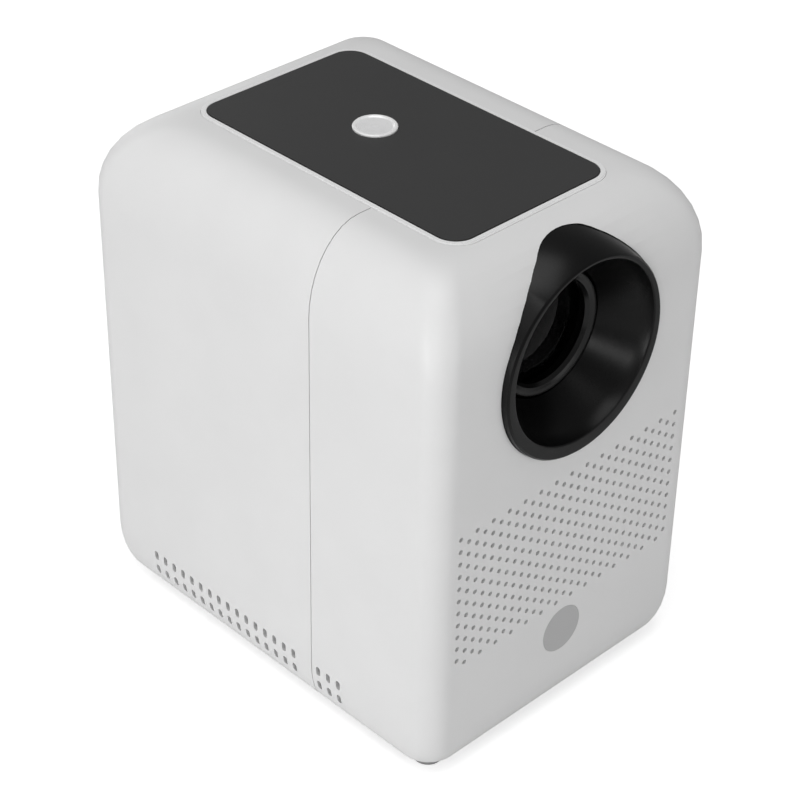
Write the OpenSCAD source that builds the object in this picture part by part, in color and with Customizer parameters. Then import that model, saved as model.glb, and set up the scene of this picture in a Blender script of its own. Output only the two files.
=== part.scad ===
// Table-top projector with a built-in disc player.
// Front and lens face -Y, +X is to the right seen from behind, +Z is up.
// The origin lies under the middle of the object, level with the soles of its feet.

/* [Body] */
// Width of the casing
body_w = 150; // [149:0.5:180]
// Depth of the casing
body_d = 200; // [199:0.5:240]
// Height of the casing without its feet
body_h = 221; // [219:0.5:250]
// Thickness of the moulded casing walls
wall = 2.5; // [2:0.1:3]
// Radius of the upright corners
corner_r = 11; // [9:0.5:11]
// Height of the rounded top edge
crown_h = 35; // [28:0.5:38]
// Reach of the rounded top edge in from each side
crown_side = 25; // [20:0.5:28]
// Reach of the rounded top edge in from the front
crown_front = 28; // [24:0.5:30]
// Reach of the rounded top edge in from the back
crown_back = 32; // [26:0.5:34]
// Height of the part that curves in towards the bottom edge
hem_h = 20; // [12:0.5:22]
// Distance that the bottom edge is drawn in
hem_in = 6; // [4:0.5:6]
// Growth of the corner radius towards the bottom edge
hem_grow = 3; // [0:0.5:3]
// Distance of the joint between the shells from the middle, towards the front
seam_front = 32; // [28:0.5:36]
// Open gap of the joint between the shells
seam_gap = 0.4; // [0.2:0.1:0.8]
// Length of the tongue that bridges the joint on the inside
tongue_l = 5; // [3:0.5:8]

/* [Base] */
// Width of the moulded rim around the base cover
base_rim = 8; // [7:0.5:9]
// Thickness of the base cover
base_t = 2.5; // [2:0.1:3.5]
// Radius of a foot
foot_r = 7; // [5:0.5:8]
// Height of a foot
foot_h = 4; // [2:0.5:8]
// Distance of each foot's centre from the sides of the casing
foot_in = 15; // [14:0.5:18]
// Outer radius of the screw bosses in the casing
boss_r = 4; // [3.5:0.1:5]
// Height of the screw bosses
boss_h = 14; // [10:0.5:20]
// Radius of a casing screw
screw_r = 1.5; // [1.2:0.1:2]
// Radius of a casing screw's head
screw_head_r = 2.8; // [2.4:0.1:3.4]
// Height of a casing screw's head
screw_head_h = 1.4; // [1:0.1:1.8]
// Radius of the tripod thread
tripod_r = 3.175; // [3.1:0.005:3.2]
// Length of the tripod insert
tripod_l = 9; // [7:0.5:12]
// Outer radius of the tripod insert
tripod_out_r = 5; // [4.5:0.1:6]

/* [Top panel] */
// Distance of the dark top panel from the sides of the casing
panel_side = 33.5; // [33:0.5:40]
// Distance of the top panel's front edge from the casing's front
panel_front = 27; // [26.5:0.25:40]
// Distance of the top panel's back edge from the casing's back
panel_back = 30.25; // [26.5:0.25:40]
// Corner radius of the top panel
panel_r = 9; // [5:0.5:12]
// Width of the pale frame around the panel
frame_w = 2.2; // [1.5:0.1:2.4]
// Height of the panel above the casing
panel_proud = 0.6; // [0.2:0.1:1.2]
// Thickness of the ledge that carries the panel
ledge_t = 2.5; // [2:0.1:3.5]
// Width of the ledge under the panel's edge
ledge_w = 8; // [5:0.5:10]
// Radius of the power button
button_r = 9; // [7:0.05:11]
// Distance of the power button behind the casing's middle
button_back = 12; // [0:0.5:30]
// Height of the power button above the panel
button_proud = 0.8; // [0.4:0.1:1.5]
// Travel of the power button
button_travel = 1.2; // [0.8:0.1:1.6]

/* [Speaker grille] */
// Radius of one speaker hole
hole_r = 1.1; // [0.8:0.05:1.1]
// Distance of the outermost speaker holes from the sides of the casing
grille_side = 14; // [13.5:0.5:24]
// Spacing of the rows of holes
row_pitch = 2.96; // [2.8:0.02:3.1]
// Number of holes in the longer rows
row_holes = 15; // [11:2:15]
// Distance of the top row of holes below the lens axis
grille_drop = 56.7; // [55:0.1:64]
// Height of the lowest row of holes
grille_low = 52.6; // [52:0.1:70]
// Distance of the speakers' rims from the sides of the casing
speaker_side = 15.5; // [12:0.5:20]
// Space between the two speakers
speaker_gap = 5; // [2:0.5:10]
// Depth of a speaker
speaker_d = 27; // [24:0.5:32]
// Height of the receiver window's middle
ir_z = 37; // [34:0.1:38]
// Radius of the receiver window
ir_r = 10.6; // [7:0.1:11]

/* [Side vents] */
// Width of one vent slot
vent_w = 2.4; // [1.6:0.1:3]
// Height of one vent slot
vent_h = 4.6; // [3.5:0.1:5]
// Spacing of the vent slots
vent_pitch = 5.9; // [5:0.02:5.9]
// Number of slots in a row behind the joint
vent_rear_n = 16; // [8:1:16]
// Number of slots in a row in front of the joint
vent_front_n = 3; // [1:1:4]
// Height of the lower row of slots
vent_low_z = 9.8; // [9:0.1:11]
// Height of the upper row of slots
vent_high_z = 17.6; // [17:0.1:20]

/* [Lens] */
// Distance of the lens axis below the top of the casing
lens_drop = 49.5; // [48.5:0.5:52]
// Outer radius of the lens hood at its rim
hood_r = 42.3; // [42:0.1:43]
// Outer radius of the lens hood where it enters the casing
hood_back_r = 44.5; // [43.5:0.1:44.8]
// Height of the hood's back above its rim
hood_rise = 3.3; // [1:0.1:3.6]
// Distance of the rim's middle below the lens axis
rim_drop = 2.1; // [1:0.1:2.2]
// Radius of the hood's mouth
mouth_r = 38.1; // [36:0.1:38.3]
// Distance that the hood stands out of the front
hood_proud = 3; // [1:0.5:6]
// Depth of the hood's funnel behind its rim
funnel_d = 19; // [15:0.5:20]
// Radius of the funnel's inner end
throat_r = 27; // [26.8:0.1:30]
// Depth of the hood's tube
hood_l = 26; // [25:0.5:26.5]
// Outer radius of the moving lens barrel
cell_r = 26.2; // [25:0.05:26.2]
// Running clearance of the lens barrel and the focus ring
run_gap = 0.05; // [0.02:0.01:0.1]
// Wall of the fixed lens sleeve
sleeve_wall = 2.75; // [2:0.05:3]
// Clear radius of the front lens
front_lens_r = 21.5; // [18:0.5:22.5]
// Radius of the rear lens
rear_lens_r = 17; // [14:0.5:19]
// Focus travel of the lens barrel
focus_travel = 3; // [2:0.5:4]
// Tooth size (module) of the focus gears
gear_m = 1; // [0.9:0.05:1.05]
// Teeth in a full turn of the focus ring
ring_teeth = 68; // [66:1:70]
// Teeth of the motor pinion
pinion_teeth = 12; // [11:1:14]
// Width of the gear teeth
gear_w = 12; // [8:0.5:13]
// Turn of the focus ring in degrees
focus_turn = 90; // [60:5:90]
// Play between the focus gears
gear_play = 0.12; // [0.05:0.01:0.25]

/* [Light path] */
// Width of the optical housing
engine_w = 84; // [80:0.5:90]
// Height of the optical housing
engine_h = 70; // [66:0.5:72]
// Depth of the optical housing's floor below the lens axis
engine_drop = 37; // [35:0.5:38]
// Open space between the cooling fins and the fan
fan_room = 9.5; // [2:0.5:14]
// Wall of the optical housing
engine_wall = 2; // [1.5:0.1:3]
// Side of the lens flange on the optical housing
flange_s = 66; // [60:0.5:70]
// Thickness of the heat sink's base
sink_base = 5; // [3:0.5:8]
// Length of the cooling fins
fin_l = 30; // [20:0.5:32]
// Thickness of a cooling fin
fin_t = 1.2; // [0.8:0.1:2]
// Number of cooling fins
fin_n = 13; // [7:1:14]
// Side of the fan
fan_s = 50; // [46:0.5:50]
// Thickness of the fan
fan_t = 15; // [10:0.5:16]
// Distance of the fan's middle below the lens axis
fan_drop = 10.6; // [10.6:0.1:12]

/* [Disc player] */
// Distance of the player's case from the sides of the casing
drive_side = 11; // [10.5:0.1:11.2]
// Length of the player's case
drive_l = 133; // [131:0.5:136]
// Space between the player's case and the optical housing
drive_drop = 17.4; // [12:0.1:19]
// Height of the player's case
drive_h = 14.6; // [14.6:0.1:16]
// Sheet thickness of the player's case
sheet = 1; // [0.6:0.1:1.2]
// Distance of the disc's middle from the tray's front plate
disc_in = 62.5; // [61.5:0.1:64]
// Radius of the disc's seat in the tray
seat_r = 60.6; // [60.5:0.05:61]
// Depth of the disc's seat in the tray
seat_d = 2.6; // [2:0.1:2.8]
// Thickness of the tray
tray_t = 8.2; // [8:0.1:8.6]
// Sliding clearance of the tray and its rails
slide_gap = 0.3; // [0.2:0.05:0.4]
// Width of a tray rail
rail_w = 3; // [2.6:0.1:3.2]
// Height of the tray's front plate
bezel_h = 13.2; // [12:0.1:13.4]
// Thickness of the tray's front plate
bezel_t = 3.5; // [3:0.1:5]
// Gap around the tray's front plate
bezel_gap = 0.4; // [0.2:0.1:0.6]
// Distance that the tray's front plate stands out of the back
bezel_proud = 0.5; // [0:0.1:1]
// Travel of the tray
tray_travel = 128; // [100:1:130]
// Travel of the pickup
sled_travel = 34; // [28:0.5:34]
// Radius of the spindle's platter
platter_r = 13; // [11:0.1:13.4]
// Radius of the hub that centres the disc
hub_r = 7.3; // [7.2:0.05:7.4]
// Radius of the guide rods
rod_r = 1; // [0.8:0.05:1.2]
// Width of the eject button
eject_w = 9; // [6:0.5:12]
// Height of the eject button
eject_h = 4; // [3:0.1:5]
// Distance that the eject button stands out of the tray's front plate
eject_proud = 0.6; // [0.2:0.1:1]
// Travel of the eject button
eject_travel = 0.8; // [0.5:0.1:0.9]

/* [Boards] */
// Thickness of the circuit boards
board_t = 1.6; // [1:0.1:2]
// Width of the main board
main_w = 112; // [90:1:120]
// Length of the main board
main_l = 112; // [90:1:118]
// Distance of the main board's underside below the player's case
main_drop = 17; // [16:0.5:20]
// Distance of the power board's edges from the sides of the casing, on average
power_side = 27; // [26:0.5:35]
// Length of the power board
power_l = 70; // [60:1:80]
// Height of the pillars under the power board
pillar_h = 6; // [4:0.5:8]
// Width of the inner frame's posts
post_w = 4.6; // [4:0.1:5]
// Height of the inner frame's bars
bar_h = 4; // [3:0.1:5]
// Distance of the rear posts from the casing's back
post_in = 22; // [18:0.5:30]
// Distance between the front and rear posts
post_span = 100; // [60:1:102]
// Distance of the mains inlet's middle from the side of the casing
inlet_side = 33; // [26:0.5:60]
// Height of the mains inlet's middle
inlet_z = 31; // [24:0.5:36]

/* [Hidden] */
$fn = 64;

big = 600;
eps = 0.01;
fit_gap = 0.1;
front_y = -body_d / 2;
back_y = body_d / 2;
inner_front = front_y + wall;
inner_back = back_y - wall;
inner_x = body_w / 2 - wall;
lens_z = body_h - lens_drop;
engine_low = lens_z - engine_drop;
drive_w = body_w - 2 * drive_side;
drive_z = engine_low - drive_drop - drive_h;
main_z = drive_z - main_drop;
grille_top = lens_z - grille_drop;
hole_rows = floor((grille_top - grille_low) / row_pitch + 0.01) + 1;
grille_z = grille_top - (hole_rows - 1) / 2 * row_pitch;
fan_z = lens_z - fan_drop;
power_w = body_w - 2 * power_side;
panel_w = body_w - 2 * panel_side;
panel_l = body_d - panel_front - panel_back;
panel_y = (panel_front - panel_back) / 2;
hole_half_pitch = (body_w / 2 - grille_side) / (row_holes - 1);
speaker_r = (body_w - 2 * speaker_side - speaker_gap) / 4;
speaker_x = speaker_r + speaker_gap / 2;

// ---------------------------------------------------------------- helpers

// Puts the casing's own frame on its feet, with the whole object centred front to back.
module stand() {
    translate([0, (hood_proud - bezel_proud - eject_proud) / 2, foot_h]) children();
}

// Turns a form built along +Z so that it runs along +Y.
module along_y(y = 0) {
    translate([0, y, 0]) rotate([-90, 0, 0]) children();
}

// Turns a form built along +Z so that it runs along +X.
module along_x(x = 0) {
    translate([x, 0, 0]) rotate([90, 0, 90]) children();
}

// A box from its lowest to its highest corner.
module block(low, high) {
    translate(low) cube(high - low);
}

// A flat rectangle with round corners, centred.
module round_rect(w, l, r) {
    square([w - 2 * r, l], center = true);
    square([w, l - 2 * r], center = true);
    for (x = [-1, 1], y = [-1, 1])
        translate([x * (w / 2 - r), y * (l / 2 - r)]) circle(r);
}

// A plate with round corners from z = low to z = high.
module round_plate(w, l, r, low, high) {
    translate([0, 0, low]) linear_extrude(high - low) round_rect(w, l, r);
}

// An upright slot with round ends.
module slot2d(w, h) {
    square([w, h - w], center = true);
    for (s = [-1, 1]) translate([0, s * (h - w) / 2]) circle(w / 2, $fn = 24);
}

// The same thing at both sides of the middle plane.
module both_sides() {
    for (s = [0, 1]) mirror([s, 0, 0]) children();
}

// ---------------------------------------------------------------- casing form

crown_steps = 9;
hem_steps = 6;
slice_t = 0.2;

// One layer of the casing: a rounded rectangle pulled in from the sides, front and back.
module layer(side, front, back, r, low, high) {
    for (x = [-1, 1], y = [0, 1])
        translate([x * (body_w / 2 - side - r),
                   y == 0 ? front_y + front + r : back_y - back - r, low])
            cylinder(h = high - low, r = r, $fn = 32);
}

// The casing's form, everywhere a distance t inside its outer surface.
module casing(t) {
    r = corner_r - t;
    crown = crown_h - t;
    hem = hem_h - t;
    hull() {
        layer(t, t, t, r, hem_h, body_h - crown_h);
        for (i = [1 : crown_steps]) {
            in = 1 - cos(90 * i / crown_steps);
            top = body_h - crown_h + crown * sin(90 * i / crown_steps);
            layer(t + (crown_side - t) * in, t + (crown_front - t) * in,
                  t + (crown_back - t) * in, r, top - slice_t, top);
        }
        for (i = [0 : hem_steps - 1]) {
            k = 1 - sin(90 * i / hem_steps);
            in = t + hem_in * k;
            low = hem_h - hem * cos(90 * i / hem_steps);
            layer(in, in, in, r + hem_grow * k, low, low + slice_t);
        }
    }
}

// Everything in front of the joint between the shells, or behind it.
module ahead_of_seam(gap) {
    block([-big, -big, -big], [big, -seam_front - gap, big]);
}
module behind_seam(gap) {
    block([-big, -seam_front + gap, -big], [big, big, big]);
}

opening_w = body_w - 2 * base_rim;
opening_l = body_d - 2 * base_rim;
opening_r = corner_r + hem_grow - 2;
frame_out_w = panel_w + 2 * frame_w;
frame_out_l = panel_l + 2 * frame_w;
ledge_z = body_h - wall;
feet_x = body_w / 2 - foot_in;
feet_y = body_d / 2 - foot_in;

// The moulded wall with the ledge for the top panel, before its other openings are cut.
module wall_form() {
    difference() {
        casing(0);
        casing(wall);
        round_plate(opening_w, opening_l, opening_r, -1, base_t + 3);
        translate([0, panel_y, 0])
            round_plate(frame_out_w + 2 * fit_gap, frame_out_l + 2 * fit_gap,
                        panel_r + frame_w, body_h - wall - 1, body_h + 1);
    }
    translate([0, panel_y, 0]) difference() {
        round_plate(frame_out_w + ledge_t, frame_out_l + ledge_t, panel_r + frame_w,
                    ledge_z - ledge_t, ledge_z);
        round_plate(panel_w - 2 * ledge_w, panel_l - 2 * ledge_w, panel_r,
                    ledge_z - ledge_t - 1, ledge_z + 1);
    }
}

rib_low = 9.5;

// A screw boss over each foot, tied to the walls by two ribs.
module boss(x, y) {
    difference() {
        union() {
            translate([x, y, base_t + fit_gap]) cylinder(h = boss_h, r = boss_r);
            block([min(x, sign(x) * (inner_x + 0.5)), y - 0.8, rib_low],
                  [max(x, sign(x) * (inner_x + 0.5)), y + 0.8, base_t + boss_h]);
            block([x - 0.8, min(y, sign(y) * (inner_back + 0.5)), rib_low],
                  [x + 0.8, max(y, sign(y) * (inner_back + 0.5)), base_t + boss_h]);
        }
        translate([x, y, 0]) cylinder(h = big, r = screw_r + run_gap);
    }
}

vent_start = -seam_front + 11.2;

// Both rows of side vents, cut right across the casing.
module side_vents(count, start, step) {
    along_x(-big / 2) linear_extrude(big)
        for (i = [0 : count - 1], z = [vent_low_z, vent_high_z])
            translate([start + i * step, z]) slot2d(vent_w, vent_h);
}

// Staggered rows of round speaker holes, seen from the front.
module hole_pattern() {
    for (j = [0 : hole_rows - 1]) {
        n = j % 2 == 0 ? row_holes : row_holes - 1;
        for (i = [0 : n - 1])
            translate([(2 * i - n + 1) * hole_half_pitch,
                       grille_z + ((hole_rows - 1) / 2 - j) * row_pitch])
                circle(hole_r, $fn = 16);
    }
}

module front_shell() {
    color("whitesmoke") stand() {
        difference() {
            intersection() {
                wall_form();
                ahead_of_seam(seam_gap / 2);
            }
            translate([0, 0, lens_z]) hood_form(0.3, hood_l - 2);
            translate([0, front_y + wall + 1, 0]) rotate([90, 0, 0])
                linear_extrude(wall + 2) hole_pattern();
            along_y(front_y - 1) translate([0, -ir_z, 0]) cylinder(h = wall + 2, r = ir_r + fit_gap);
            side_vents(vent_front_n, -seam_front - 3.9, -vent_pitch);
        }
        for (x = [-1, 1]) boss(x * feet_x, -feet_y);
    }
}

fan_slot_h = 15.5;
fan_slot_pitch = 18.5;

// Upright slots of the exhaust grille, seen from behind.
module exhaust_pattern() {
    for (i = [-6 : 6], j = [-1 : 1])
        translate([i * 4.6, fan_z + j * fan_slot_pitch]) slot2d(2.6, fan_slot_h);
}

bezel_w = drive_w - 2 * sheet + 0.4;
bezel_z = drive_z + 0.8 + bezel_h / 2;
port_z = main_z + board_t;
hdmi_x = -34;
hdmi_w = 15.4;
hdmi_h = 5.8;
usb_x = -8;
usb_w = 14.5;
usb_h = 7.5;
jack_x = 16;
jack_r = 1.8;
jack_collar_r = 3.2;
jack_z = port_z + 3.6;
inlet_x = body_w / 2 - inlet_side;
inlet_w = 24;
inlet_h = 18;

module rear_shell() {
    color("whitesmoke") stand() {
        difference() {
            intersection() {
                wall_form();
                behind_seam(seam_gap / 2);
            }
            translate([0, back_y + 1, 0]) rotate([90, 0, 0])
                linear_extrude(wall + 2) exhaust_pattern();
            block([-bezel_w / 2 - bezel_gap, inner_back - 1, bezel_z - bezel_h / 2 - bezel_gap],
                  [bezel_w / 2 + bezel_gap, big, bezel_z + bezel_h / 2 + bezel_gap]);
            block([hdmi_x - hdmi_w / 2 - 0.3, inner_back - 1, port_z - 0.3],
                  [hdmi_x + hdmi_w / 2 + 0.3, big, port_z + hdmi_h + 0.3]);
            block([usb_x - usb_w / 2 - 0.3, inner_back - 1, port_z - 0.3],
                  [usb_x + usb_w / 2 + 0.3, big, port_z + usb_h + 0.3]);
            along_y(inner_back - 1) translate([jack_x, -jack_z, 0])
                cylinder(h = big, r = jack_collar_r + fit_gap);
            block([inlet_x - inlet_w / 2, inner_back - 1, inlet_z - inlet_h / 2],
                  [inlet_x + inlet_w / 2, big, inlet_z + inlet_h / 2]);
            side_vents(vent_rear_n, vent_start, vent_pitch);
        }
        for (x = [-1, 1]) boss(x * feet_x, feet_y);
        seam_tongue();
    }
}

// A thin lip inside the joint, so that no light shows through the gap.
module seam_tongue() {
    difference() {
        casing(wall + 0.15);
        casing(wall + 1.4);
        behind_seam(2);
        block([-big, -big, -big], [big, -seam_front - tongue_l, big]);
        block([-big, -big, -big], [big, big, vent_high_z + vent_h]);
        block([-big, -big, ledge_z - ledge_t - 1.5], [big, big, big]);
    }
    // the lip's root, joined to the rear shell's wall
    difference() {
        casing(wall - 0.3);
        casing(wall + 1.4);
        block([-big, -seam_front + 3, -big], [big, big, big]);
        block([-big, -big, -big], [big, -seam_front + seam_gap / 2 + 0.2, big]);
        block([-big, -big, -big], [big, big, vent_high_z + vent_h]);
        block([-big, -big, ledge_z - ledge_t - 1.5], [big, big, big]);
    }
}

module base_cover() {
    color("whitesmoke") stand() difference() {
        union() {
            round_plate(opening_w - 2 * fit_gap, opening_l - 2 * fit_gap, opening_r, 0, base_t);
            cylinder(h = tripod_l + 1, r = tripod_out_r + 2.5);
            for (x = [-1, 1], y = [-1, 1])
                translate([power_x + x * (power_w / 2 - 6), power_y + y * (power_l / 2 - 6), 0])
                    cylinder(h = base_t + pillar_h, r = 3, $fn = 24);
        }
        translate([0, 0, -1]) cylinder(h = tripod_l + 1, r = tripod_out_r + 0.02);
        for (x = [-1, 1], y = [-1, 1]) translate([x * feet_x, y * feet_y, -1]) {
            cylinder(h = big, r = screw_r + 0.2);
            cylinder(h = 1 + screw_head_h + fit_gap, r = screw_head_r + 0.2);
        }
        // intake slots under the power board
        translate([0, 0, -1]) linear_extrude(base_t + 2)
            for (i = [-7 : 7], s = [-1, 1]) translate([i * 5, s * 52]) slot2d(2.2, 16);
    }
}

power_x = -8;
power_y = 44;

module feet() {
    color("dimgray") stand() for (x = [-1, 1], y = [-1, 1])
        translate([x * feet_x, y * feet_y, -foot_h]) {
            cylinder(h = foot_h - 1, r1 = foot_r - 0.8, r2 = foot_r);
            translate([0, 0, foot_h - 1]) cylinder(h = 1, r = foot_r);
        }
}

module base_screws() {
    color("silver") stand() for (x = [-1, 1], y = [-1, 1])
        translate([x * feet_x, y * feet_y, 0]) {
            cylinder(h = screw_head_h, r = screw_head_r);
            cylinder(h = boss_h - 2, r = screw_r);
        }
}

module tripod_insert() {
    color("goldenrod") stand() difference() {
        cylinder(h = tripod_l, r = tripod_out_r);
        translate([0, 0, -1]) cylinder(h = tripod_l + 2, r = tripod_r);
    }
}

// ---------------------------------------------------------------- inner frame

post_x = drive_w / 2 + slide_gap + post_w / 2;
post_back = back_y - post_in;
post_front = post_back - post_span;
post_d = 8;
post_foot_x = body_w / 2 - base_rim - 2.6;

// Posts with cross bars that carry the main board, the disc player and the optical housing.
module support_frame() {
    color("darkgray") stand() {
        for (s = [-1, 1], y = [post_front, post_back]) {
            block([s * post_x - post_w / 2, y - post_d / 2, base_t + 5],
                  [s * post_x + post_w / 2, y + post_d / 2, engine_low]);
            block([s * post_foot_x - 1.8, y - 2.6, base_t], [s * post_foot_x + 1.8, y + 2.6, base_t + 7]);
        }
        for (y = [post_front, post_back], z = [main_z, drive_z])
            block([-post_x, y - 3, z - bar_h], [post_x, y + 3, z]);
        for (s = [-1, 1])
            block([s * post_x - post_w / 2, post_front, engine_low - bar_h],
                  [s * post_x + post_w / 2, post_back, engine_low]);
        for (y = [post_front, engine_front + engine_l - 8])
            block([-post_x, y - 3, engine_low - bar_h], [post_x, y + 3, engine_low]);
    }
}

// ---------------------------------------------------------------- top panel and power button

panel_top = body_h + panel_proud;
deck_z = ledge_z - 9;
switch_h = 4;

module top_panel() {
    color("#444446") stand() difference() {
        union() {
            translate([0, panel_y, 0]) {
                round_plate(panel_w, panel_l, panel_r, ledge_z, panel_top - 0.4);
                round_plate(panel_w - 0.8, panel_l - 0.8, panel_r - 0.4, panel_top - 0.5, panel_top);
            }
            for (x = [-1, 1], y = [-1, 1])
                translate([x * 16, button_back + y * 13, deck_z]) cylinder(h = ledge_z - deck_z, r = 2);
        }
        translate([0, button_back, ledge_z - 1]) cylinder(h = 20, r = button_r + 0.25);
    }
}

module panel_frame() {
    color("gainsboro") stand() translate([0, panel_y, 0]) difference() {
        union() {
            round_plate(frame_out_w, frame_out_l, panel_r + frame_w, ledge_z, body_h + 0.1);
            round_plate(frame_out_w - 1, frame_out_l - 1, panel_r + frame_w - 0.5, body_h, body_h + 0.4);
        }
        round_plate(panel_w + 2 * fit_gap, panel_l + 2 * fit_gap, panel_r + fit_gap, ledge_z - 1, big);
    }
}

module power_button() {
    color("silver") stand() translate([0, button_back, 0]) {
        rotate_extrude() polygon([[0, ledge_z - 3.5], [button_r + 1.2, ledge_z - 3.5],
            [button_r + 1.2, ledge_z - 0.3], [button_r, ledge_z - 0.3],
            [button_r, panel_top + button_proud - 0.4], [button_r - 0.4, panel_top + button_proud],
            [button_r - 1.3, panel_top + button_proud], [button_r - 2, panel_top + button_proud - 0.5],
            [0, panel_top + button_proud - 0.7]]);
        translate([0, 0, deck_z + switch_h + button_travel + fit_gap])
            cylinder(h = ledge_z - 3 - deck_z - switch_h - button_travel - fit_gap, r = 2.5);
    }
}

module button_board() {
    color("darkgreen") stand()
        block([-20, button_back - 17, deck_z - board_t], [20, button_back + 17, deck_z]);
}

module button_switch() {
    color("dimgray") stand() translate([0, button_back, deck_z]) {
        block([-3, -3, 0], [3, 3, switch_h - 0.5]);
        cylinder(h = switch_h, r = 1.7);
    }
}

// ---------------------------------------------------------------- receiver window

module ir_window() {
    color("darkgray") stand() translate([0, 0, ir_z]) {
        along_y(front_y) cylinder(h = wall, r = ir_r);
        along_y(inner_front) cylinder(h = 1.2, r = ir_r + 1.5);
    }
}

module ir_board() {
    color("darkgreen") stand() translate([0, 0, ir_z]) {
        block([-ir_r - 3.6, inner_front + 6, -9], [ir_r + 3.6, inner_front + 6 + board_t, 9]);
        for (s = [-1, 1]) along_y(inner_front) translate([s * (ir_r + 2.6), 0, 0])
            cylinder(h = 6, r = 0.9, $fn = 16);
        along_y(inner_front + 1.5) cylinder(h = 4.5, r = 2.6, $fn = 32);
    }
}

// ---------------------------------------------------------------- projection lens

rim_y = front_y - hood_proud;
throat_y = rim_y + funnel_d;
skin = 2.4;

hood_bend = 17;
lip = 0.8;

// The hood's outer form: round, widening and rising from the rim, then straight into the casing.
module hood_form(grow, l) {
    hull() {
        along_y(rim_y) translate([0, rim_drop, 0])
            cylinder(h = lip, r1 = hood_r - lip + grow, r2 = hood_r + grow, $fn = 96);
        along_y(rim_y + hood_bend) translate([0, rim_drop - hood_rise, 0])
            cylinder(h = l - hood_bend, r = hood_back_r + grow, $fn = 96);
    }
}

// The space between the hood's tube and its funnel, open at the back.
module hood_hollow() {
    hull() {
        along_y(rim_y + 4) translate([0, rim_drop, 0]) cylinder(h = 0.2, r = hood_r - skin, $fn = 96);
        along_y(rim_y + hood_bend) translate([0, rim_drop - hood_rise, 0])
            cylinder(h = hood_l - hood_bend + 1, r = hood_back_r - skin, $fn = 96);
    }
}

// The space inside the funnel, with a rounded edge at the mouth.
module funnel_space() {
    along_y() rotate_extrude($fn = 96) polygon(concat(
        [[0, rim_y - 1], [mouth_r + lip, rim_y - 1]],
        [for (a = [0 : 15 : 90]) [mouth_r + lip - lip * sin(a), rim_y + lip - lip * cos(a)]],
        [[throat_r, throat_y], [throat_r, throat_y + 4], [0, throat_y + 4]]));
}

module lens_hood() {
    color("#18181a") stand() translate([0, 0, lens_z]) {
        difference() {
            union() {
                difference() {
                    hood_form(0, hood_l);
                    hood_hollow();
                }
                along_y() rotate_extrude($fn = 96)
                    polygon([[10, rim_y + 3], [mouth_r + 1, rim_y + 3], [throat_r + 2, throat_y + 0.6],
                             [throat_r + 2, throat_y + 3], [10, throat_y + 3]]);
            }
            funnel_space();
        }
        // mounting flange behind the front wall, left open where the top edge is rounded
        difference() {
            along_y(inner_front + fit_gap) translate([0, rim_drop / 2, 0]) cylinder(h = 2, r = hood_r + 5.4);
            hood_form(-1, hood_l + 2);
            block([-big, -big, body_h - crown_h - lens_z - 3], [big, big, big]);
        }
    }
}

cell_front = throat_y - 0.5;
cell_l = 44;
flange_t = 3;
sleeve_front = cell_front + 12.5;
engine_front = cell_front + cell_l + focus_travel + 0.5;
flange_y = engine_front - flange_t;
sleeve_r = cell_r + run_gap + sleeve_wall;

module lens_sleeve() {
    color("#202022") stand() translate([0, 0, lens_z]) difference() {
        union() {
            along_y(sleeve_front) cylinder(h = flange_y - sleeve_front + 1, r = sleeve_r, $fn = 96);
            block([-flange_s / 2, flange_y, -flange_s / 2], [flange_s / 2, engine_front, flange_s / 2]);
        }
        along_y(sleeve_front - 1) cylinder(h = big, r = cell_r + run_gap, $fn = 96);
    }
}

// The lens barrel: front bevel and lip, wide bore for the front lens, narrow bore for the rear one.
module lens_cell() {
    color("#151517") stand() translate([0, 0, lens_z]) along_y(cell_front) rotate_extrude($fn = 96)
        polygon([[cell_r, 0.6], [cell_r, cell_l], [rear_lens_r - 2, cell_l],
            [rear_lens_r - 2, 42], [rear_lens_r + fit_gap, 42], [rear_lens_r + fit_gap, 30], [21, 28],
            [21, 11], [front_lens_r + 1.8 + fit_gap, 11], [front_lens_r + 1.8 + fit_gap, 2.4],
            [front_lens_r, 2.2], [front_lens_r + 1.2, 0.8], [cell_r - 1.4, 0], [cell_r - 0.6, 0]]);
}

// A lens between two spherical faces, its front vertex at z = 0.
module biconvex(r, radius_front, radius_back, depth) {
    intersection() {
        cylinder(h = depth, r = r);
        translate([0, 0, radius_front]) sphere(radius_front, $fn = 240);
        translate([0, 0, depth - radius_back]) sphere(radius_back, $fn = 240);
    }
}

module lens_front() {
    color("lightsteelblue", 0.5) stand() translate([0, 0, lens_z]) along_y(cell_front + 2.6)
        biconvex(front_lens_r + 1.8, 70, 90, 8.4);
}

module lens_rear() {
    color("lightsteelblue", 0.5) stand() translate([0, 0, lens_z]) along_y(cell_front + 33)
        biconvex(rear_lens_r, 60, 60, 9);
}

// Gear outline: straight-flanked teeth on a root circle, for turn steps first to last.
module gear2d(teeth, m, first, last, root) {
    pitch_r = m * teeth / 2;
    step = 360 / teeth;
    circle(root);
    for (i = [first : last]) rotate(i * step) polygon([
        [root - 0.5, -1.05 * m], [root, -1.0 * m], [pitch_r - 0.3 * m, -0.86 * m + 0.05],
        [pitch_r, -0.735 * m + 0.05], [pitch_r + 0.95 * m, -0.36 * m], [pitch_r + 0.95 * m, 0.36 * m],
        [pitch_r, 0.735 * m - 0.05], [pitch_r - 0.3 * m, 0.86 * m - 0.05], [root, 1.0 * m],
        [root - 0.5, 1.05 * m]]);
}

ring_pitch_r = gear_m * ring_teeth / 2;
pinion_pitch_r = gear_m * pinion_teeth / 2;
gear_centre = ring_pitch_r + pinion_pitch_r + gear_play;
pinion_angle = -45;
ring_y = sleeve_front + 3;
ring_last = ceil(focus_turn * ring_teeth / 360) + 3;

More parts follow.
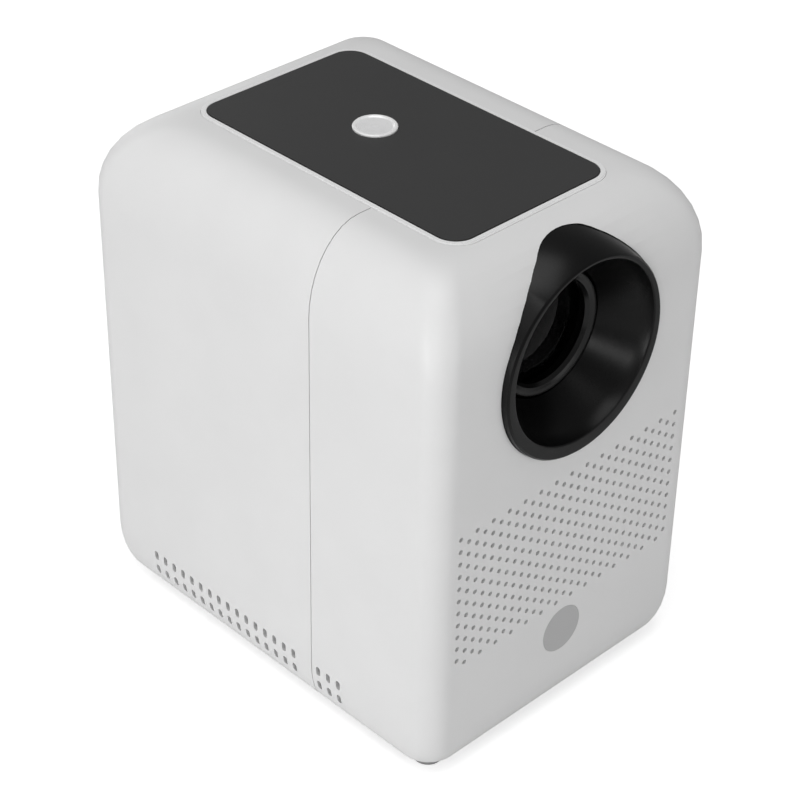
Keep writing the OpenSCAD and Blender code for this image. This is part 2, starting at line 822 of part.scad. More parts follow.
module focus_ring() {
    color("#2a2a2c") stand() translate([0, ring_y, lens_z]) rotate([90, 0, 0]) rotate([0, 0, pinion_angle])
        mirror([0, 0, 1]) difference() {
            union() {
                linear_extrude(gear_w)
                    gear2d(ring_teeth, gear_m, -3, ring_last, ring_pitch_r - 1.25 * gear_m);
                translate([0, 0, gear_w]) cylinder(h = 3, r = ring_pitch_r - 1.4 * gear_m);
            }
            translate([0, 0, -1]) cylinder(h = gear_w + 6, r = sleeve_r + run_gap, $fn = 96);
        }
}

// Places a form on the pinion's axis, built along +Y.
module at_pinion(y) {
    translate([gear_centre * cos(pinion_angle), y, lens_z + gear_centre * sin(pinion_angle)]) children();
}

module focus_pinion() {
    color("ivory") stand() at_pinion(ring_y) rotate([90, 0, 0]) mirror([0, 0, 1]) {
        translate([0, 0, 0.5]) linear_extrude(gear_w - 1) rotate(pinion_angle + 180 / pinion_teeth + 180)
            gear2d(pinion_teeth, gear_m, 0, pinion_teeth - 1, pinion_pitch_r - 1.25 * gear_m);
        translate([0, 0, gear_w - 1]) cylinder(h = flange_y - ring_y - gear_w - 2, r = 1);
    }
}

motor_l = flange_y - ring_y - gear_w - 3.5;

module focus_motor() {
    color("silver") stand() at_pinion(flange_y - motor_l) difference() {
        along_y() cylinder(h = motor_l, r = 7.4);
        along_y(-1) cylinder(h = motor_l, r = 1 + run_gap);
    }
}

// ---------------------------------------------------------------- light path

fan_y = inner_back - fan_t;
engine_back = fan_y - fan_room - fin_l - sink_base;
engine_l = engine_back - engine_front;
engine_floor = engine_low + engine_wall;
lid_t = 2;
cell_w = engine_w - 2 * engine_wall - 2 * fit_gap;
cell_h = engine_h - engine_wall - lid_t - 2;
light_r = 24;

module engine_housing() {
    color("#303032") stand() difference() {
        block([-engine_w / 2, engine_front, engine_low],
              [engine_w / 2, engine_back, engine_low + engine_h - lid_t]);
        block([-engine_w / 2 + engine_wall, engine_front + engine_wall, engine_floor],
              [engine_w / 2 - engine_wall, engine_back - engine_wall, big]);
        translate([0, 0, lens_z]) along_y(engine_front - 1) cylinder(h = engine_wall + 2, r = light_r);
        block([-22, engine_back - engine_wall - 1, lens_z - 22], [22, engine_back + 1, lens_z + 22]);
    }
}

module engine_cover() {
    color("#38383a") stand() translate([0, engine_front + engine_l / 2, engine_low + engine_h - lid_t]) {
        round_plate(engine_w, engine_l, 2, 0, lid_t);
        for (x = [-1 : 1])
            translate([x * 22, 0, 0]) round_plate(3, engine_l - 16, 1.4, lid_t - 0.1, lid_t + 1);
    }
}

// A rectangular pane that stands on the housing's floor.
module pane(y, t) {
    block([-cell_w / 2, y, engine_floor], [cell_w / 2, y + t, engine_floor + cell_h]);
}

// Fine steps of a flat lens.
module lens_steps(y) {
    for (i = [1 : 5]) translate([0, 0, lens_z]) along_y(y) cylinder(h = 0.25 * (6 - i), r = 5.5 * i);
}

pane_t = 2;
lcd_t = 3.2;
lcd_w = 66;
lcd_h = 40;
fresnel_front_y = engine_front + 10;
lcd_y = fresnel_front_y + pane_t + 6;
fresnel_rear_y = lcd_y + lcd_t + 6;

module fresnel_front() {
    color("aliceblue", 0.5) stand() {
        pane(fresnel_front_y, pane_t);
        lens_steps(fresnel_front_y + pane_t - 0.1);
    }
}

module lcd_panel() {
    color("silver") stand() difference() {
        pane(lcd_y, lcd_t);
        block([-lcd_w / 2, lcd_y - 1, lens_z - lcd_h / 2], [lcd_w / 2, lcd_y + 1.2, lens_z + lcd_h / 2]);
    }
}

module fresnel_rear() {
    color("aliceblue", 0.5) stand() {
        pane(fresnel_rear_y, pane_t);
        lens_steps(fresnel_rear_y + pane_t - 0.1);
    }
}

dome_r = 24;
dome_curve = 31;
dome_h = dome_curve - sqrt(dome_curve * dome_curve - dome_r * dome_r) - 2.4;
condenser_y = (fresnel_rear_y + engine_back) / 2 - 5.5;

// A moulded plate with a domed lens.
module condenser_lens() {
    color("aliceblue", 0.5) stand() {
        pane(condenser_y, pane_t);
        translate([0, 0, lens_z]) intersection() {
            along_y(condenser_y + pane_t - 0.1) cylinder(h = dome_h + 3, r = dome_r);
            along_y(condenser_y + pane_t - 0.1 + dome_h - dome_curve) sphere(dome_curve);
        }
    }
}

module led_module() {
    color("gold") stand() translate([0, 0, lens_z]) {
        block([-19, engine_back - 1.6, -19], [19, engine_back, 19]);
        along_y(engine_back - 3.6) cylinder(h = 2.5, r = 9);
    }
}

module heat_sink() {
    color("lightgray") stand() translate([0, 0, lens_z]) {
        block([-35, engine_back, -33], [35, engine_back + sink_base, 33]);
        for (i = [0 : fin_n - 1]) translate([(i - (fin_n - 1) / 2) * (68 / (fin_n - 1)), 0, 0])
            block([-fin_t / 2, engine_back + sink_base - eps, -33],
                  [fin_t / 2, engine_back + sink_base + fin_l, 33]);
    }
}

fan_hub_r = 10;
fan_bore = fan_s / 2 - 2;

module fan_frame() {
    color("#1c1c1e") stand() translate([0, 0, fan_z]) difference() {
        union() {
            difference() {
                along_y(fan_y) linear_extrude(fan_t) round_rect(fan_s, fan_s, 3);
                along_y(fan_y - 1) cylinder(h = fan_t + 2, r = fan_bore);
            }
            // motor seat on three arms
            along_y(fan_y) cylinder(h = 2, r = fan_hub_r);
            for (a = [30, 150, 270]) along_y(fan_y) rotate(a) translate([0, -1.5, 0])
                cube([fan_bore + 1, 3, 2]);
        }
        along_y(fan_y - 1) cylinder(h = 4, r = 1.5 + run_gap);
    }
}

blade_n = 7;
blade_tilt = 38;

// Pitched blades on a cup-shaped hub, with a shaft in the frame's bearing.
module fan_rotor() {
    color("#2c2c2e") stand() translate([0, fan_y, fan_z]) along_y() {
        difference() {
            translate([0, 0, 2.6]) cylinder(h = fan_t - 3.6, r = fan_hub_r - 0.4);
            translate([0, 0, 2]) cylinder(h = fan_t - 6, r = fan_hub_r - 2);
        }
        cylinder(h = fan_t - 1.5, r = 1.5);
        difference() {
            intersection() {
                translate([0, 0, 2.9]) cylinder(h = fan_t - 4.4, r = fan_bore - 0.6);
                for (i = [0 : blade_n - 1]) rotate(i * 360 / blade_n)
                    translate([fan_hub_r - 2, 0, fan_t / 2]) rotate([blade_tilt, 0, 0])
                        translate([0, -0.6, -fan_t]) cube([fan_bore - fan_hub_r + 4, 1.2, 2 * fan_t]);
            }
            translate([0, 0, 1]) cylinder(h = fan_t, r = fan_hub_r - 1);
        }
    }
}

// ---------------------------------------------------------------- boards and sockets

module main_board() {
    color("darkgreen") stand() {
        block([-main_w / 2, inner_back - 0.3 - main_l, main_z],
              [main_w / 2, inner_back - 0.3, port_z]);
        block([-20, 20, port_z - eps], [8, 48, port_z + 2.2]);
        for (i = [0 : 3]) block([14 + 9 * i, 24, port_z - eps], [20 + 9 * i, 38, port_z + 1.2]);
        for (i = [0 : 4]) translate([-44 + 12 * i, 66, port_z - eps]) cylinder(h = 7, r = 3, $fn = 24);
    }
}

socket_d = 12;
hdmi_wall = 0.6;

module hdmi_port() {
    color("silver") stand() difference() {
        block([hdmi_x - hdmi_w / 2, back_y - socket_d, port_z],
              [hdmi_x + hdmi_w / 2, back_y, port_z + hdmi_h]);
        block([hdmi_x - hdmi_w / 2 + hdmi_wall, back_y - socket_d + 2, port_z + hdmi_wall],
              [hdmi_x + hdmi_w / 2 - hdmi_wall, big, port_z + hdmi_h - hdmi_wall]);
    }
}

module usb_port() {
    color("silver") stand() {
        difference() {
            block([usb_x - usb_w / 2, back_y - socket_d, port_z],
                  [usb_x + usb_w / 2, back_y, port_z + usb_h]);
            block([usb_x - usb_w / 2 + hdmi_wall, back_y - socket_d + 2, port_z + hdmi_wall],
                  [usb_x + usb_w / 2 - hdmi_wall, big, port_z + usb_h - hdmi_wall]);
        }
        block([usb_x - 5.5, back_y - socket_d + 1, port_z + usb_h - 2.2],
              [usb_x + 5.5, back_y - 1.5, port_z + usb_h - hdmi_wall + eps]);
    }
}

module audio_jack() {
    color("#1c1c1e") stand() difference() {
        union() {
            block([jack_x - 3.6, inner_back - 13, port_z], [jack_x + 3.6, inner_back - 0.2, port_z + 7.2]);
            along_y(inner_back - 1) translate([jack_x, -jack_z, 0])
                cylinder(h = wall + 1, r = jack_collar_r);
        }
        along_y(inner_back - 11) translate([jack_x, -jack_z, 0]) cylinder(h = big, r = jack_r);
    }
}

module power_board() {
    color("darkgreen") stand() translate([power_x, power_y, base_t + pillar_h])
        block([-power_w / 2, -power_l / 2, 0], [power_w / 2, power_l / 2, board_t]);
}

module power_parts() {
    color("khaki") stand() translate([power_x, power_y, base_t + pillar_h + board_t]) {
        block([-16, -14, 0], [16, 14, 24]);
        for (i = [0 : 2]) translate([-36 + 12 * i, 24, 0]) cylinder(h = 20, r = 5, $fn = 32);
        for (i = [0 : 1]) translate([28, -18 + 18 * i, 0]) cylinder(h = 26, r = 7.5, $fn = 32);
        block([-42, -30, 0], [-38, 10, 22]);
    }
}

pin_gap = 8.6;
lobe_r = 3.9;

// Two-pin mains inlet with a figure-of-eight mouth.
module power_inlet() {
    color("#1c1c1e") stand() {
        difference() {
            union() {
                block([inlet_x - inlet_w / 2 + fit_gap, back_y - 18, inlet_z - inlet_h / 2 + fit_gap],
                      [inlet_x + inlet_w / 2 - fit_gap, back_y, inlet_z + inlet_h / 2 - fit_gap]);
                block([inlet_x - inlet_w / 2 - 3, back_y - wall - 2, inlet_z - inlet_h / 2 - 1.5],
                      [inlet_x + inlet_w / 2 + 3, back_y - wall - fit_gap, inlet_z + inlet_h / 2 + 1.5]);
            }
            translate([inlet_x, 0, inlet_z]) {
                for (s = [-1, 1])
                    along_y(back_y - 13) translate([s * pin_gap / 2, 0, 0]) cylinder(h = big, r = lobe_r);
                block([-pin_gap / 2, back_y - 13, -2.6], [pin_gap / 2, big, 2.6]);
            }
        }
        translate([inlet_x, 0, inlet_z]) for (s = [-1, 1])
            along_y(back_y - 14) translate([s * pin_gap / 2, 0, 0]) cylinder(h = 12, r = 1.2);
    }
}

// ---------------------------------------------------------------- speakers

cloth_t = 0.4;
speaker_y = inner_front + cloth_t;

magnet_r = speaker_r - 12;

// A speaker's steel basket with its magnet, opening towards z = 0.
module basket() {
    difference() {
        rotate_extrude() polygon([[speaker_r - 3, 0], [speaker_r, 0], [speaker_r, 2],
            [speaker_r - 1.5, 2.2], [magnet_r + 2.5, 12], [magnet_r + 2.5, 13.5], [magnet_r, 13.5],
            [magnet_r, speaker_d], [0, speaker_d], [0, 12.5], [magnet_r + 0.5, 12.2], [speaker_r - 3, 2.4]]);
        for (a = [0 : 90 : 270]) rotate(a + 45) translate([magnet_r + 1, -6, 4]) cube([20, 12, 6.5]);
    }
}

// A speaker's paper cone with its rolled edge and dust cap.
module cone() {
    rotate_extrude() polygon([[speaker_r - 3.2, 0.6], [speaker_r - 3.2, 1.4], [speaker_r - 5, 1.6],
        [8, 11], [0, 11], [0, 7.5], [4, 8], [7, 9.2], [speaker_r - 6, 1.2], [speaker_r - 5, 0.3]]);
}

module speaker_left() {
    color("dimgray") stand() translate([-speaker_x, 0, grille_z]) along_y(speaker_y) basket();
}
module speaker_right() {
    color("dimgray") stand() translate([speaker_x, 0, grille_z]) along_y(speaker_y) basket();
}
module cone_left() {
    color("#2a2a2c") stand() translate([-speaker_x, 0, grille_z]) along_y(speaker_y) cone();
}
module cone_right() {
    color("#2a2a2c") stand() translate([speaker_x, 0, grille_z]) along_y(speaker_y) cone();
}

module grille_cloth() {
    w = (row_holes - 1) * 2 * hole_half_pitch + 4;
    h = (hole_rows - 1) * row_pitch + 4;
    color("gray") stand() translate([0, 0, grille_z])
        block([-w / 2, inner_front, -h / 2], [w / 2, speaker_y, h / 2]);
}

// ---------------------------------------------------------------- disc player

drive_front = inner_back - 0.8;
drive_end = drive_front - drive_l;
floor_z = drive_z + sheet;
tray_z = floor_z + 1.2;
tray_top = tray_z + tray_t;
tray_half = drive_w / 2 - sheet - rail_w - 2 * slide_gap;
tray_front = back_y + bezel_proud - bezel_t;
tray_end = drive_end + sheet + 2;
disc_y = tray_front - disc_in;
seat_z = tray_top - seat_d;
deck_t = 1;
deck_low = tray_z + 0.2;
motor_low = deck_low + deck_t;
rod_z = motor_low + 2.2;
rod_x = 11;
screw_x = 17;
feed_r = 1.3;
deck_end = disc_y - 62.5;
window_end = deck_end - 0.5;

module drive_chassis() {
    color("silver") stand() difference() {
        block([-drive_w / 2, drive_end, drive_z], [drive_w / 2, drive_front, drive_z + drive_h - 0.8]);
        block([-drive_w / 2 + sheet, drive_end + sheet, floor_z], [drive_w / 2 - sheet, big, big]);
        translate([0, 0, drive_z - 1]) {
            for (s = [-1, 1]) translate([s * 38, disc_y + 30, 0]) cylinder(h = 4, r = 9);
            translate([0, disc_y + 10, 0]) cylinder(h = 4, r = 14);
        }
    }
}

module drive_cover() {
    color("silver") stand() difference() {
        block([-drive_w / 2, drive_end, drive_z + drive_h - 0.8],
              [drive_w / 2, drive_front, drive_z + drive_h]);
        translate([0, disc_y, drive_z + drive_h - 0.3]) difference() {
            cylinder(h = 2, r = 46);
            translate([0, 0, -1]) cylinder(h = 4, r = 40);
        }
    }
}

module disc_tray() {
    color("#262628") stand() difference() {
        union() {
            block([-tray_half, tray_end, tray_z], [tray_half, tray_front, tray_top]);
            block([-tray_half - 1.2, tray_end, tray_z + 2.3],
                  [tray_half + 1.2, tray_front - 6, tray_z + 3.5]);
        }
        translate([0, disc_y, seat_z]) cylinder(h = 20, r = seat_r, $fn = 128);
        translate([0, disc_y, seat_z - 0.8]) cylinder(h = 20, r = 40.5, $fn = 128);
        translate([0, disc_y, tray_z - 1]) cylinder(h = 20, r = platter_r + 3.6);
        block([-16.5, window_end, tray_z - 1], [21.5, disc_y, big]);
        block([-30, deck_end - 0.5, tray_z - 1], [30, disc_y + 22, tray_z + 3]);
        // finger notch at the front of the seat
        translate([0, disc_y + seat_r - 6, seat_z - 1.2]) cylinder(h = 20, r = 12);
    }
}

module tray_bezel() {
    color("#1c1c1e") stand() difference() {
        along_y(tray_front) translate([0, -bezel_z, 0]) linear_extrude(bezel_t)
            round_rect(bezel_w, bezel_h, 1.5);
        along_y(tray_front - 1) translate([eject_x, -bezel_z, 0]) linear_extrude(bezel_t + 2)
            round_rect(eject_w + 0.4, eject_h + 0.4, eject_h / 2);
        along_y(tray_front - 1) translate([eject_x, -bezel_z, 0]) linear_extrude(bezel_t - 0.3)
            round_rect(eject_w + 2.6, eject_h + 2.6, eject_h / 2 + 1);
    }
}

eject_x = 19.2 - bezel_w / 2;

module eject_button() {
    color("silver") stand() translate([eject_x, 0, bezel_z]) {
        back = eject_travel + fit_gap;
        along_y(tray_front + back) linear_extrude(bezel_t + eject_proud - back)
            round_rect(eject_w, eject_h, eject_h / 2 - 0.1);
        along_y(tray_front + back) linear_extrude(1)
            round_rect(eject_w + 2, eject_h + 2, eject_h / 2 + 0.7);
    }
}

// A grooved rail between the tray's edge and the case's wall.
module rail() {
    difference() {
        block([tray_half + slide_gap, drive_end + 6, tray_z - 0.9],
              [tray_half + slide_gap + rail_w, drive_front - 5, tray_z + 4.8]);
        block([tray_half, -big, tray_z + 2.0], [tray_half + 1.5, big, tray_z + 3.8]);
    }
}

module rail_right() {
    color("gainsboro") stand() rail();
}
module rail_left() {
    color("gainsboro") stand() mirror([1, 0, 0]) rail();
}

// The plate under the tray's window that carries the spindle and the pickup's rods.
module traverse_frame() {
    color("lightgray") stand() {
        difference() {
            block([-29, deck_end, deck_low], [29, disc_y + 21, motor_low]);
            block([-8, window_end + 6, deck_low - 1], [8, disc_y - 16, motor_low + 1]);
        }
        for (x = [-1, 1], y = [deck_end + 5, disc_y + 16])
            translate([x * 25, y, motor_low - eps]) cylinder(h = tray_z + 3 - motor_low + eps, r = 2.6);
        // lugs that hold the ends of the rods
        for (x = [-1, 1], y = [deck_end + 0.2, disc_y - 13.6]) difference() {
            block([x * rod_x - 2, y, motor_low - eps], [x * rod_x + 2, y + 1.6, rod_z + rod_r + 0.7]);
            along_y(y - 1) translate([x * rod_x, -rod_z, 0]) cylinder(h = 4, r = rod_r + 0.02, $fn = 24);
        }
    }
}

module spindle_motor() {
    color("silver") stand() translate([0, disc_y, motor_low]) difference() {
        cylinder(h = 3.8, r = 11);
        translate([0, 0, 0.8]) cylinder(h = 20, r = 0.8 + run_gap, $fn = 32);
    }
}

platter_z = motor_low + 4.1;

module turntable() {
    color("#303032") stand() translate([0, disc_y, 0]) {
        translate([0, 0, platter_z]) cylinder(h = 1.3, r = platter_r);
        translate([0, 0, platter_z + 1]) cylinder(h = 2.6, r = hub_r);
        translate([0, 0, platter_z + 3.6 - eps]) cylinder(h = 0.7, r1 = hub_r, r2 = hub_r - 1.6);
        translate([0, 0, motor_low + 1]) cylinder(h = platter_z - motor_low, r = 0.8, $fn = 32);
    }
}

module guide_rods() {
    color("silver") stand() for (x = [-1, 1])
        along_y(deck_end + 0.4) translate([x * rod_x, -rod_z, 0])
            cylinder(h = disc_y - 12.2 - deck_end, r = rod_r, $fn = 24);
}

sled_front = disc_y - 14.3;
sled_l = 12.4;

module pickup_sled() {
    color("#3a3a3c") stand() difference() {
        union() {
            block([-13.8, sled_front - sled_l, motor_low + 0.4], [13.8, sled_front, motor_low + 3.9]);
            block([13, sled_front - 2.2, motor_low + 0.4], [screw_x + 2, sled_front, motor_low + 3.9]);
        }
        for (x = [-1, 1]) along_y(sled_front - 30) translate([x * rod_x, -rod_z, 0])
            cylinder(h = 60, r = rod_r + run_gap, $fn = 24);
        along_y(sled_front - 30) translate([screw_x, -rod_z, 0])
            cylinder(h = 60, r = feed_r + run_gap, $fn = 24);
    }
}

module pickup_lens() {
    color("lightsteelblue", 0.6) stand() translate([0, sled_front - 9, motor_low + 3.9]) {
        cylinder(h = 0.6, r = 3, $fn = 32);
        translate([0, 0, 0.5]) cylinder(h = 0.5, r1 = 2.2, r2 = 1.4, $fn = 32);
    }
}

feed_motor_r = 2.5;
feed_motor_l = 9;

module lead_screw() {
    color("silver") stand() along_y(deck_end + feed_motor_l - 2) translate([screw_x, -rod_z, 0])
        cylinder(h = disc_y - 11 - deck_end - feed_motor_l, r = feed_r, $fn = 24);
}

module sled_motor() {
    color("lightgray") stand() difference() {
        union() {
            along_y(deck_end + 0.4) translate([screw_x, -rod_z - 0.4, 0])
                cylinder(h = feed_motor_l, r = feed_motor_r, $fn = 48);
            block([screw_x - 2, deck_end + 0.4, motor_low],
                  [screw_x + 2, deck_end + 0.4 + feed_motor_l, rod_z]);
        }
        along_y(deck_end + 4) translate([screw_x, -rod_z, 0])
            cylinder(h = 20, r = feed_r + run_gap, $fn = 24);
    }
}

front_shell();
rear_shell();
base_cover();
feet();
base_screws();
tripod_insert();
support_frame();
top_panel();
panel_frame();
power_button();
button_board();
button_switch();
ir_window();
ir_board();
lens_hood();
lens_sleeve();
lens_cell();
lens_front();
lens_rear();
focus_ring();
focus_pinion();
focus_motor();
engine_housing();
engine_cover();
fresnel_front();
lcd_panel();
fresnel_rear();
condenser_lens();
led_module();
heat_sink();
fan_frame();
fan_rotor();
main_board();
hdmi_port();
usb_port();
audio_jack();
power_board();
power_parts();
power_inlet();
speaker_left();
speaker_right();
cone_left();
cone_right();
grille_cloth();
drive_chassis();
drive_cover();
disc_tray();
tray_bezel();
eject_button();
rail_left();
rail_right();
traverse_frame();
spindle_motor();
turntable();
guide_rods();
pickup_sled();
pickup_lens();
lead_screw();
sled_motor();
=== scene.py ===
"""Looks of an upright projector with a built-in disc player.

Metres throughout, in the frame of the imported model: +Z up, the lens faces -Y. Every visible surface gets a
procedural material, and the camera, lamps and floor are set up for a plain studio picture.
"""
import math

import bpy
from mathutils import Matrix, Vector


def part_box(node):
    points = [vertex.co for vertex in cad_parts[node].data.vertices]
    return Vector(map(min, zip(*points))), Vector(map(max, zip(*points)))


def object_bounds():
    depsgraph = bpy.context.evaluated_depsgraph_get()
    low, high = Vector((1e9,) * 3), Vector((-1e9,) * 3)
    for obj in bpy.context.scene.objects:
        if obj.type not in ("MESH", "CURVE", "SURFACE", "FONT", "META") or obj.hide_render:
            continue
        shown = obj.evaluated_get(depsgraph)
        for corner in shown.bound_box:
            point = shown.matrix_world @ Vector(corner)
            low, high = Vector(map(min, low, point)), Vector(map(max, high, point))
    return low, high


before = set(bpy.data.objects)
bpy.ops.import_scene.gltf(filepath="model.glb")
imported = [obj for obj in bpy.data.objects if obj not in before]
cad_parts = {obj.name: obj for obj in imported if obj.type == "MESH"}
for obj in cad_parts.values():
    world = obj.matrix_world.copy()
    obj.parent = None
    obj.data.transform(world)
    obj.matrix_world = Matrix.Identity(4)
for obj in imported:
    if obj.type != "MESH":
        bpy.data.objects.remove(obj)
CAD_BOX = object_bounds()
MIDDLE = (CAD_BOX[0] + CAD_BOX[1]) / 2
MM = 0.001

# The outputs of a noise node lie mostly between these two values.
NOISE_LOW = 0.3
NOISE_HIGH = 0.7

# The colour sockets of a Mix node share their names with others, so they go by number.
MIX_FACTOR = 0
MIX_FIRST = 6
MIX_SECOND = 7
MIX_RESULT = 2

# ---------------------------------------------------------------- node helpers


class Shader:
    """A material's node tree, with short calls for the nodes that the looks need."""

    def __init__(self, name):
        self.material = bpy.data.materials.new(name)
        self.material.use_nodes = True
        self.tree = self.material.node_tree
        self.tree.nodes.clear()
        self.out = self.tree.nodes.new("ShaderNodeOutputMaterial")
        self.bsdf = self.tree.nodes.new("ShaderNodeBsdfPrincipled")
        self.tree.links.new(self.bsdf.outputs["BSDF"], self.out.inputs["Surface"])

    def node(self, kind, settings=None, **sockets):
        """Adds a node; sockets are named inputs, each a value or another node's output."""
        made = self.tree.nodes.new("ShaderNode" + kind)
        for key, value in (settings or {}).items():
            setattr(made, key, value)
        for key, value in sockets.items():
            self.feed(made.inputs[key.replace("_", " ")], value)
        return made

    def feed(self, socket, value):
        """Links another node's output to the socket, or sets the socket's own value."""
        if isinstance(value, bpy.types.NodeSocket):
            self.tree.links.new(value, socket)
        else:
            socket.default_value = value

    def place(self, centre=(0, 0, 0), stretch=(1, 1, 1)):
        """The point on the object in metres, from a centre, stretched along the axes."""
        point = self.node("TexCoord").outputs["Object"]
        moved = self.node("Mapping", Vector=point, Scale=stretch,
                          Location=[-c * s for c, s in zip(centre, stretch)])
        return moved.outputs["Vector"]

    def distance(self, point):
        """How far the point is from the origin of its own coordinates."""
        return self.node("VectorMath", {"operation": "LENGTH"}, Vector=point).outputs["Value"]

    def noise(self, point, size, detail=3.0, roughness=0.55):
        """Noise with features of about that size in metres."""
        return self.node("TexNoise", Vector=point, Scale=1 / size, Detail=detail,
                         Roughness=roughness).outputs["Fac"]

    def math(self, operation, a, b=0.0, c=0.0):
        """A Math node's result; b and c matter only to operations that use them."""
        made = self.tree.nodes.new("ShaderNodeMath")
        made.operation = operation
        for socket, value in zip(made.inputs, (a, b, c)):
            self.feed(socket, value)
        return made.outputs[0]

    def spread(self, value, low, high, to_low, to_high):
        """Maps value from one span to another, clamped."""
        made = self.node("MapRange", Value=value)
        for key, number in (("From Min", low), ("From Max", high), ("To Min", to_low), ("To Max", to_high)):
            self.feed(made.inputs[key], number)
        return made.outputs["Result"]

    def mix(self, factor, a, b):
        """A colour between a and b."""
        made = self.node("Mix", {"data_type": "RGBA"})
        self.feed(made.inputs[MIX_FACTOR], factor)
        self.feed(made.inputs[MIX_FIRST], a)
        self.feed(made.inputs[MIX_SECOND], b)
        return made.outputs[MIX_RESULT]

    def tone(self, noise, colour, dark, light, low=NOISE_LOW):
        """The colour, scaled by dark where the noise is low and by light where it is high."""
        share = self.spread(noise, low, NOISE_HIGH, 0.0, 1.0)
        return self.mix(share, rgba(colour, dark), rgba(colour, light))

    def gloss(self, noise, smooth, rough):
        """A roughness from smooth, where the noise is low, to rough, where it is high."""
        return self.spread(noise, NOISE_LOW, NOISE_HIGH, smooth, rough)

    def bump(self, height, depth):
        """A normal from a height of 0 to 1, depth metres deep."""
        return self.node("Bump", Height=height, Distance=depth, Strength=1.0).outputs["Normal"]

    def set(self, **sockets):
        """Sets or links the named inputs of the surface."""
        for key, value in sockets.items():
            self.feed(self.bsdf.inputs[key.replace("_", " ")], value)


def rgba(colour, scale=1.0):
    """An opaque colour for a socket, made darker or lighter by scale."""
    return [min(1.0, c * scale) for c in colour[:3]] + [1.0]


# ---------------------------------------------------------------- kinds of surface


def moulded(name, colour, roughness, grain=0.35 * MM, relief=0.012 * MM, mottle=0.02, wear=0.08, **fixed):
    """Moulded plastic: fine spark-eroded grain, a faint unevenness of tone and gloss, and small scuffs."""
    cloud_size = 35 * MM
    scuff_size = 4 * MM
    scuff_stretch = (1, 1, 6)
    scuff_begins = 0.62
    scuff_full = 0.8
    s = Shader(name)
    point = s.place()
    fine = s.noise(point, grain, detail=2.0)
    broad = s.noise(point, cloud_size, detail=2.0)
    scuffs = s.noise(s.place(stretch=scuff_stretch), scuff_size, detail=6.0, roughness=0.7)
    plain = s.gloss(fine, roughness - 0.04, roughness + 0.05)
    worn = s.spread(scuffs, scuff_begins, scuff_full, 0.0, wear)
    s.set(Base_Color=s.tone(broad, colour, 1 - mottle, 1 + mottle), Roughness=s.math("ADD", plain, worn),
          Normal=s.bump(fine, relief), **fixed)
    return s.material


def metal(name, colour, roughness, brush=(1, 1, 1)):
    """Sheet or turned metal with brush marks along the axis that brush leaves long."""
    mark_size = 0.5 * MM
    mark_depth = 0.006 * MM
    cloud_size = 18 * MM
    s = Shader(name)
    marks = s.noise(s.place(stretch=brush), mark_size, detail=4.0)
    cloud = s.noise(s.place(), cloud_size)
    s.set(Base_Color=s.tone(cloud, colour, 0.92, 1.05), Metallic=1.0,
          Roughness=s.gloss(marks, roughness - 0.07, roughness + 0.09),
          Normal=s.bump(marks, mark_depth))
    return s.material


def brushed_disc(name, colour, centre, roughness, rim):
    """A turned face: fine rings round a centre in the XY plane, and a polished rim beyond that radius,
    painted whiter as a highlight.
    """
    ring_pitch = 0.12 * MM
    ring_depth = 0.003 * MM
    cloud_size = 3 * MM
    rim_blur = 0.15 * MM
    # The rim's whiter colour is a painted highlight; its lower roughness is real polish.
    rim_highlight_colour = rgba((0.97, 0.97, 0.97))
    rim_polish = 0.12
    s = Shader(name)
    point = s.place(centre)
    radius = s.distance(point)
    rings = s.node("TexNoise", {"noise_dimensions": "1D"}, W=s.math("MULTIPLY", radius, 1 / ring_pitch),
                   Scale=1.0, Detail=2.0).outputs["Fac"]
    cloud = s.noise(point, cloud_size)
    edge = s.spread(radius, rim - rim_blur, rim + rim_blur, 0.0, 1.0)
    turned = s.gloss(rings, roughness - 0.06, roughness + 0.08)
    s.set(Base_Color=s.mix(edge, s.tone(cloud, colour, 0.97, 1.03), rim_highlight_colour), Metallic=0.10,
          Roughness=s.math("SUBTRACT", turned, s.math("MULTIPLY", edge, rim_polish)),
          Normal=s.bump(rings, ring_depth))
    return s.material


def glass(name, tint_and_painted_shade, index):
    """Optical glass with a trace of dust; a coated lens reflects less, so it has a lower index. A dark tint
    here is painted shade, not the glass's own colour.
    """
    dust_size = 4 * MM
    clean_roughness = 0.015
    dusty_roughness = 0.05
    s = Shader(name)
    dust = s.noise(s.place(), dust_size, detail=2.0)
    s.set(Base_Color=rgba(tint_and_painted_shade), Roughness=s.spread(dust, 0.4, 0.8, clean_roughness, dusty_roughness),
          Transmission_Weight=1.0, IOR=index)
    return s.material


def board(name, colour):
    """A circuit board: solder mask over a grid of copper tracks, with pale dots for the joints."""
    track_pitch = 9 * MM
    track_depth = 0.03 * MM
    joint_pitch = 3.2 * MM
    joint_inner = 0.10
    joint_outer = 0.14
    joint_colour = rgba((0.62, 0.62, 0.60))
    mask_roughness = 0.38
    joint_roughness = 0.25
    s = Shader(name)
    point = s.place()
    tracks = s.node("TexBrick", Vector=point, Scale=1 / track_pitch, Color1=rgba(colour, 0.9),
                    Color2=rgba(colour, 1.15), Mortar=rgba(colour, 1.9)).outputs
    dots = s.node("TexVoronoi", Vector=point, Scale=1 / joint_pitch).outputs["Distance"]
    near = s.spread(dots, joint_inner, joint_outer, 1.0, 0.0)
    s.set(Base_Color=s.mix(near, tracks["Color"], joint_colour),
          Roughness=s.spread(near, 0.0, 1.0, mask_roughness, joint_roughness),
          Normal=s.bump(tracks["Fac"], track_depth))
    return s.material


